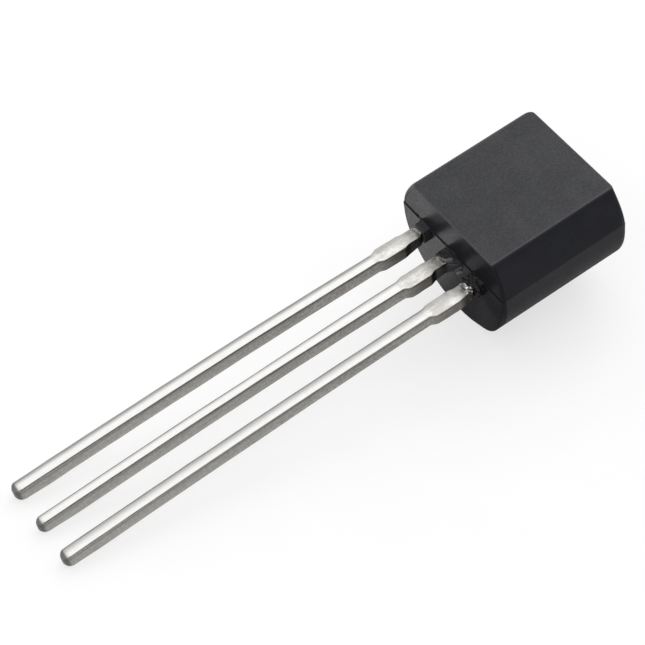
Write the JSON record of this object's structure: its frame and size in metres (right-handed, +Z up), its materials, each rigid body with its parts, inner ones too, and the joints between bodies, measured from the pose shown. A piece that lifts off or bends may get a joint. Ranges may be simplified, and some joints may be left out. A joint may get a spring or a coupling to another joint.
{
  "type": "voltage regulator",
  "caption": "Small half-round moulded regulator package lying flat face up, with straight parallel leads and the remains of the sheared tie bar on each.",
  "frame": {"origin": "centre of the footprint on the surface that the regulator lies on", "axes": "+X from the lead tips towards the package, +Y across the package from the input lead to the output lead, +Z up out of the surface; the leads slope up to the package at 9.5 degrees, because the round back is deeper than the leads"},
  "size_m": [0.019, 0.0048, 0.0047],
  "materials": {
    "moulding": "black moulded epoxy, fine spark-eroded grain on the flat face, smoother on the end faces",
    "tin_plate": "bright tin plating over copper sheet, satin where it was coined",
    "silicon": "polished silicon",
    "die_bond": "dull silver-filled bond line",
    "bond_wire": "bright gold wire"
  },
  "bodies": {
    "root": {"case": "moulding", "lead_output": "tin_plate", "lead_ground": "tin_plate", "lead_input": "tin_plate", "die": "silicon", "die_attach": "die_bond", "wire_output": "bond_wire", "wire_ground": "bond_wire", "wire_input": "bond_wire"}
  },
  "joints": []
}
